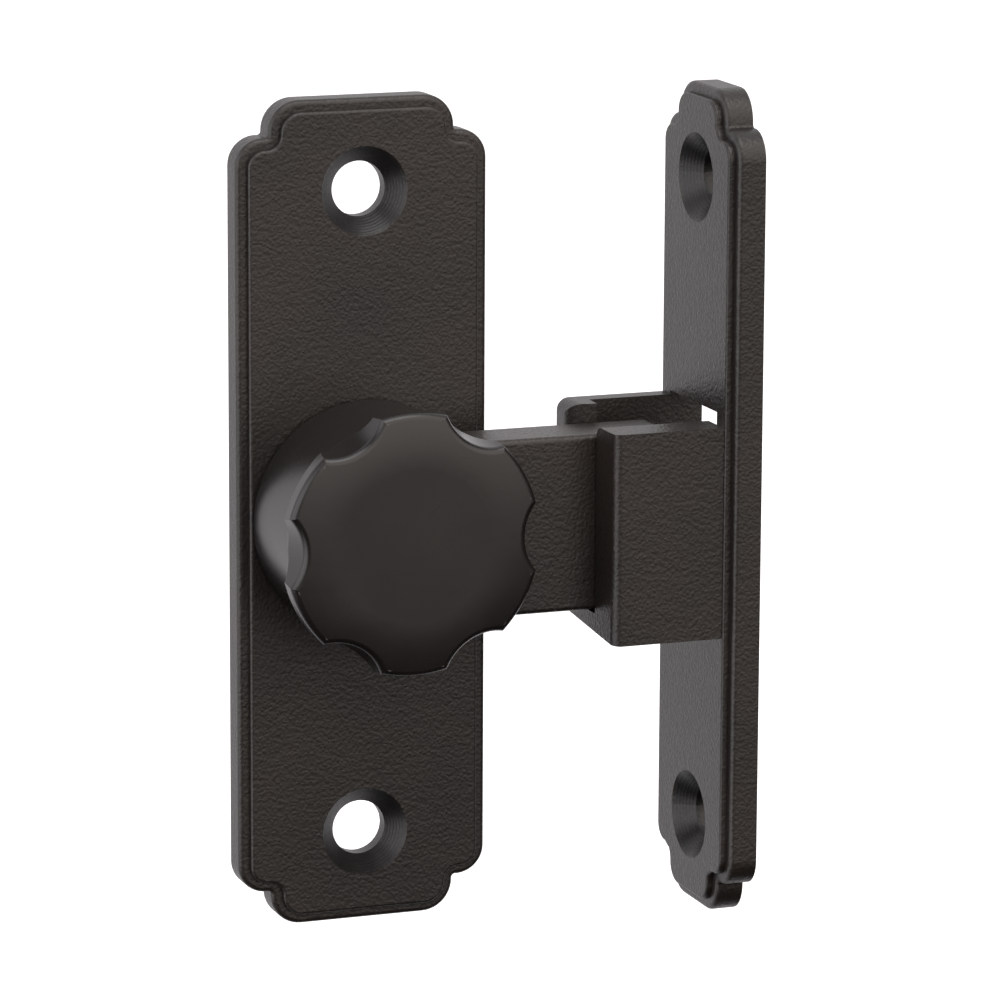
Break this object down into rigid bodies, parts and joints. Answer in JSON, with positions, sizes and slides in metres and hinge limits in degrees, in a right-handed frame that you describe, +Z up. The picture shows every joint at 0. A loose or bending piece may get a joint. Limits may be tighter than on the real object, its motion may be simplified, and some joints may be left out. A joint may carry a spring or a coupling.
{
  "type": "quarter-turn flip latch",
  "caption": "Surface-mounted flip latch: a lobed knob turns a flat bar that drops into a U-shaped keeper on a strike plate set at a right angle to the latch plate.",
  "frame": {"origin": "centre of the latch plate's back face, on the pivot axis and midway between its two screw holes", "axes": "+X along the flip bar towards the strike when latched, +Z up along the plates, +Y into the door; the latch faces -Y"},
  "size_m": [0.0463, 0.0202, 0.081],
  "materials": {
    "coated_casting": "fine pebbled brown-black powder coat",
    "knob_satin": "smooth satin brown-black paint",
    "zinc_steel": "bright zinc plate",
    "spring_steel": "oiled spring steel",
    "nylon": "matt black nylon"
  },
  "bodies": {
    "latch": {"latch_plate": "coated_casting", "thrust_washer": "nylon"},
    "bolt": {"knob": "knob_satin", "flip_bar": "coated_casting", "pivot_screw": "zinc_steel", "flat_washer": "zinc_steel", "wave_washer": "spring_steel"},
    "strike": {"strike_keeper": "coated_casting"}
  },
  "joints": [
    {"name": "knob_turn", "type": "hinge", "parent": "latch", "child": "bolt", "pos_m": [0, 0, 0], "axis": [0, -1, 0], "range_deg": [0, 270]},
    {"name": "strike_draw", "type": "slide", "parent": "latch", "child": "strike", "axis": [1, 0, 0], "range_m": [0, 0.03]}
  ]
}
